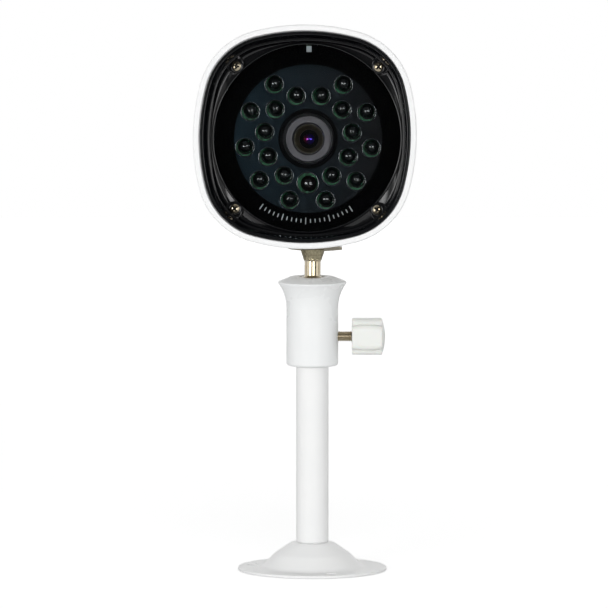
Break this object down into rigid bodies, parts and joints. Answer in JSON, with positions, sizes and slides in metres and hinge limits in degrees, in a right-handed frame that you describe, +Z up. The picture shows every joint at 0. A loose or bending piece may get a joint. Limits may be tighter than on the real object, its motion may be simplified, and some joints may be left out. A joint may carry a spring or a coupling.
{
  "type": "security camera",
  "caption": "Weatherproof bullet camera with an infrared ring behind a square-round window, on a ball-joint bracket with a thumb-screw clamp and a round screw-down base.",
  "frame": {"origin": "centre of the underside of the base flange, which is also the centre of its three screw holes", "axes": "+Z up along the post; the camera looks towards -Y, turned about 5 degrees towards -X; the clamp screw points to +X"},
  "size_m": [0.0819, 0.1121, 0.2045],
  "materials": {
    "white_powder_steel": "smooth semi-gloss white powder coat on sheet and tube steel",
    "white_powder_collar": "smooth semi-gloss white powder coat on a turned collar",
    "white_housing": "fine satin white powder coat on an aluminium casting",
    "zinc_steel": "bright zinc-plated steel",
    "nickel_brass": "warm nickel plating on brass, fine turning marks",
    "white_knob_plastic": "white moulded nylon, semi-gloss",
    "natural_nylon": "natural nylon",
    "bezel_black": "gloss black moulded polycarbonate",
    "inner_black": "black moulded plastic, fine texture",
    "infrared_plate": "dark blue-grey painted plate",
    "window_clear": "clear flat glass with anti-reflection coat",
    "mask_ink": "black ink printed on the back of the glass",
    "status_diffuser": "milky light pipe",
    "black_rubber": "black silicone rubber",
    "green_board": "green solder mask on fibreglass board",
    "led_epoxy": "smoke-dark infrared epoxy",
    "sensor_epoxy": "dark light-sensor epoxy",
    "lens_black": "black anodised aluminium",
    "lens_ring_grey": "satin grey anodised aluminium",
    "lens_cone_bronze": "dark bronze baffle",
    "lens_glass": "coated optical glass with a violet cast",
    "filter_glass": "blue-green infrared filter glass",
    "chip_black": "black epoxy chip packages and sockets",
    "sensor_die": "image sensor package",
    "ribbon_grey": "grey ribbon cable with a white plug"
  },
  "bodies": {
    "stand": {"base_flange": "white_powder_steel", "post_tube": "white_powder_steel", "post_foot_plug": "zinc_steel", "foot_washer": "zinc_steel", "foot_screw": "zinc_steel"},
    "seat": {"ball_seat": "natural_nylon"},
    "stud": {"ball_stud": "nickel_brass"},
    "collar": {"clamp_collar": "white_powder_collar"},
    "shoe": {"clamp_shoe": "natural_nylon"},
    "clamp_screw": {"thumb_screw": "nickel_brass", "thumb_knob": "white_knob_plastic"},
    "head": {"mount_plate": "nickel_brass", "mount_plate_screws": "nickel_brass", "mount_insert": "nickel_brass", "housing_shell": "white_housing", "rear_cover": "white_housing", "front_gasket": "black_rubber", "rear_gasket": "black_rubber", "rear_cover_screws": "zinc_steel", "gland_body": "inner_black", "gland_washer": "black_rubber", "gland_lock_nut": "inner_black", "gland_dome_nut": "inner_black", "gland_seal": "black_rubber", "front_bezel": "bezel_black", "bezel_screws": "zinc_steel", "window_glass": "window_clear", "window_gasket": "black_rubber", "window_mask": "mask_ink", "status_window": "status_diffuser", "window_retainer": "inner_black", "led_cover_plate": "infrared_plate", "led_board": "green_board", "led_board_screws": "zinc_steel", "ir_leds": "led_epoxy", "light_sensor": "sensor_epoxy", "lens_light_shield": "black_rubber", "lens_barrel": "lens_black", "lens_front_ring": "lens_ring_grey", "lens_inner_cone": "lens_cone_bronze", "lens_front_element": "lens_glass", "lens_rear_element": "lens_glass", "lens_lock_ring": "lens_black", "lens_holder": "inner_black", "lens_holder_screws": "zinc_steel", "ir_filter": "filter_glass", "image_sensor": "sensor_die", "sensor_board": "green_board", "main_board": "green_board", "main_board_parts": "chip_black", "board_standoffs": "nickel_brass", "board_screws": "zinc_steel", "led_harness": "ribbon_grey"}
  },
  "joints": [
    {"name": "pan_turn", "type": "hinge", "parent": "stand", "child": "seat", "pos_m": [0, 0, 0.1058], "axis": [0, 0, 1], "continuous": true},
    {"name": "tilt_lean", "type": "hinge", "parent": "seat", "child": "stud", "pos_m": [0, 0, 0.1058], "axis": [0.9961, -0.0879, 0], "range_deg": [-14.9, 29.1]},
    {"name": "head_spin", "type": "hinge", "parent": "stud", "child": "head", "pos_m": [0, 0, 0.1058], "axis": [0.0109, 0.1231, 0.9923], "continuous": true},
    {"name": "collar_turn", "type": "hinge", "parent": "stand", "child": "collar", "pos_m": [0, 0, 0.087], "axis": [0, 0, 1], "continuous": true},
    {"name": "screw_travel", "type": "slide", "parent": "collar", "child": "shoe", "axis": [1, 0, 0], "range_m": [0, 0.0014]},
    {"name": "knob_spin", "type": "hinge", "parent": "shoe", "child": "clamp_screw", "pos_m": [0.0145, 0, 0.087], "axis": [1, 0, 0], "range_deg": [0, 720]}
  ],
  "couplings": [
    {"joint": "knob_spin", "follows": "screw_travel", "rad_per_m": 8976}
  ]
}
